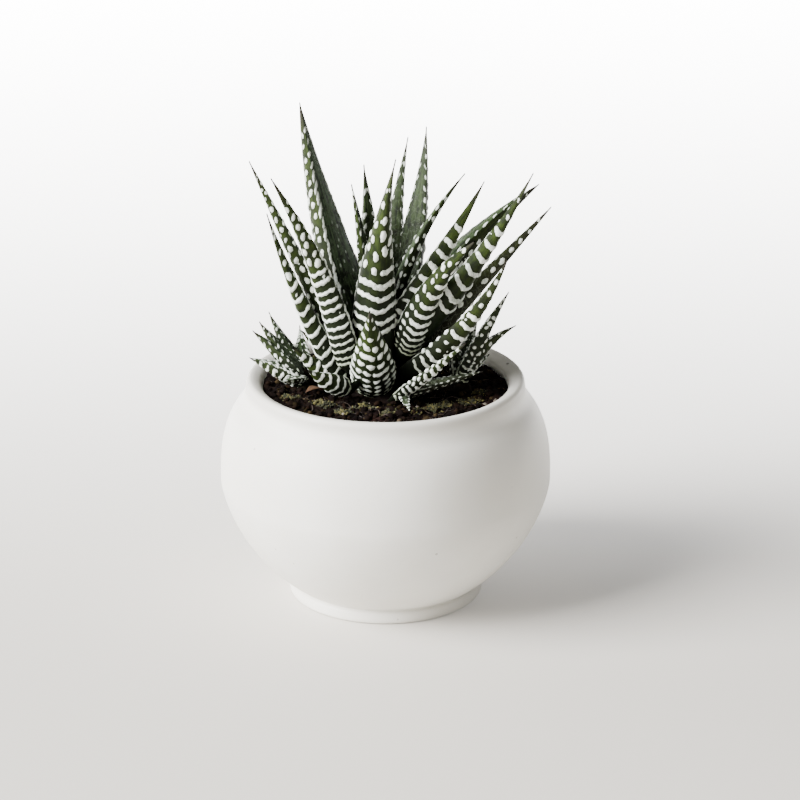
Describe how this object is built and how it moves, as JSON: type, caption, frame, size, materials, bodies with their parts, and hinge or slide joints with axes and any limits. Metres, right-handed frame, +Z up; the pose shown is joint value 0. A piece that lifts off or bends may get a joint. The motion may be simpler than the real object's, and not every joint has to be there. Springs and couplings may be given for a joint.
{
  "type": "potted haworthia",
  "caption": "Haworthia rosette of thick pointed leaves with raised white bands, with small offsets, in dark soil in a round matt white ceramic pot with a rolled lip and a foot ring.",
  "frame": {"origin": "on the pot's axis, on the surface that the pot stands on", "axes": "+Z up along the pot's axis, +X to the right and -Y to the front as the picture shows the plant"},
  "size_m": [0.11, 0.11, 0.1651],
  "materials": {
    "pot": "matt white ceramic, faintly mottled",
    "soil": "dark brown fibrous potting soil with crumbs, fibres and moss",
    "leaf": "dark green succulent leaf with raised white bands and dots on the outer face",
    "withered_leaf": "dry orange-brown leaf"
  },
  "bodies": {
    "root": {"pot": "pot", "soil": "soil", "main_rosette": "leaf", "left_pup": "leaf", "right_pup": "leaf", "withered_leaf": "withered_leaf"}
  },
  "joints": []
}
